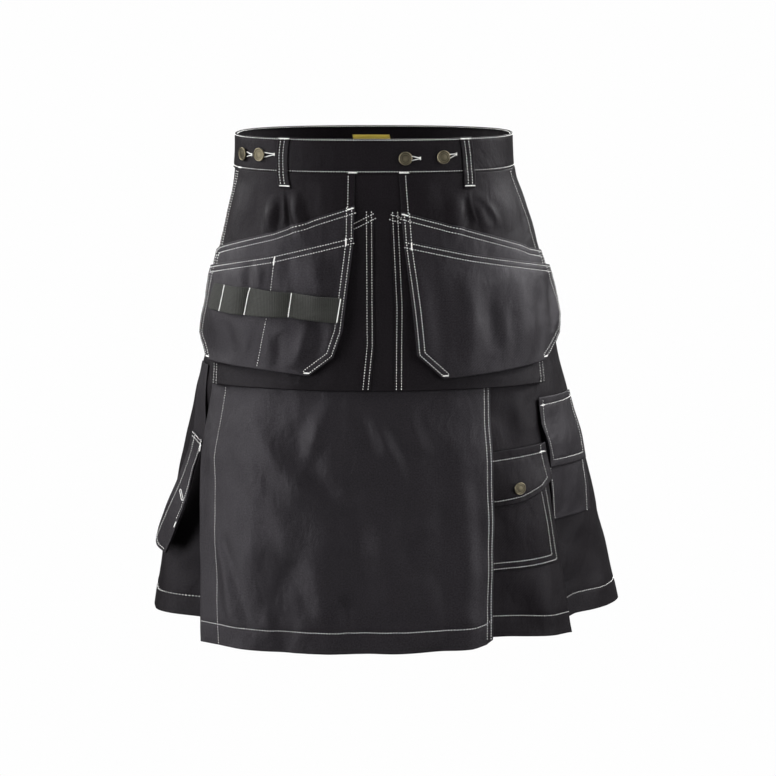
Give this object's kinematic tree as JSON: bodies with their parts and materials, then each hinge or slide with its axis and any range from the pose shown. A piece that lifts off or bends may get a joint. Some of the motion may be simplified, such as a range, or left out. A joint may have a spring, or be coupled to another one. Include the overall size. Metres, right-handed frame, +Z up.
{
  "type": "utility kilt",
  "caption": "Black work kilt worn on nobody: a waistband, a front apron under a yoke with hanging nail pockets, side pockets and a pleated back, open through waist and hem.",
  "frame": {"origin": "the middle of the waist opening, half way down the waistband, where the wearer's waist holds it", "axes": "+Z up, -Y the kilt's front, +X the wearer's left"},
  "size_m": [0.584, 0.4434, 0.5955],
  "materials": {
    "twill": "black poly-cotton twill with white topstitching",
    "webbing": "woven tape, dark greenish grey",
    "buttons": "antique brass, die-struck and oxidised",
    "label": "woven label, plain yellow"
  },
  "bodies": {
    "root": {"waistband": "twill", "under_apron": "twill", "side_panel_right": "twill", "side_panel_left": "twill", "back_middle": "twill", "back_right": "twill", "back_left": "twill", "front_yoke": "twill", "front_pocket_right": "twill", "front_pocket_left": "twill", "front_apron": "twill", "nail_pocket_right_backing": "twill", "nail_pocket_right_lower_pocket": "twill", "nail_pocket_right_upper_pocket": "twill", "nail_pocket_left_backing": "twill", "nail_pocket_left_lower_pocket": "twill", "nail_pocket_left_upper_pocket": "twill", "tool_loop_webbing": "webbing", "cargo_pocket": "twill", "cargo_flap": "twill", "phone_pocket": "twill", "phone_flap": "twill", "rule_pocket_backing": "twill", "rule_pocket_front": "twill", "belt_loop_front_right": "twill", "belt_loop_front_left": "twill", "belt_loop_back_right": "twill", "belt_loop_back_left": "twill", "belt_loop_back_centre": "twill", "waist_button_left_outer": "buttons", "waist_button_left_inner": "buttons", "waist_button_right_inner": "buttons", "waist_button_right_outer": "buttons", "cargo_snap": "buttons", "inside_label": "label"}
  },
  "joints": []
}
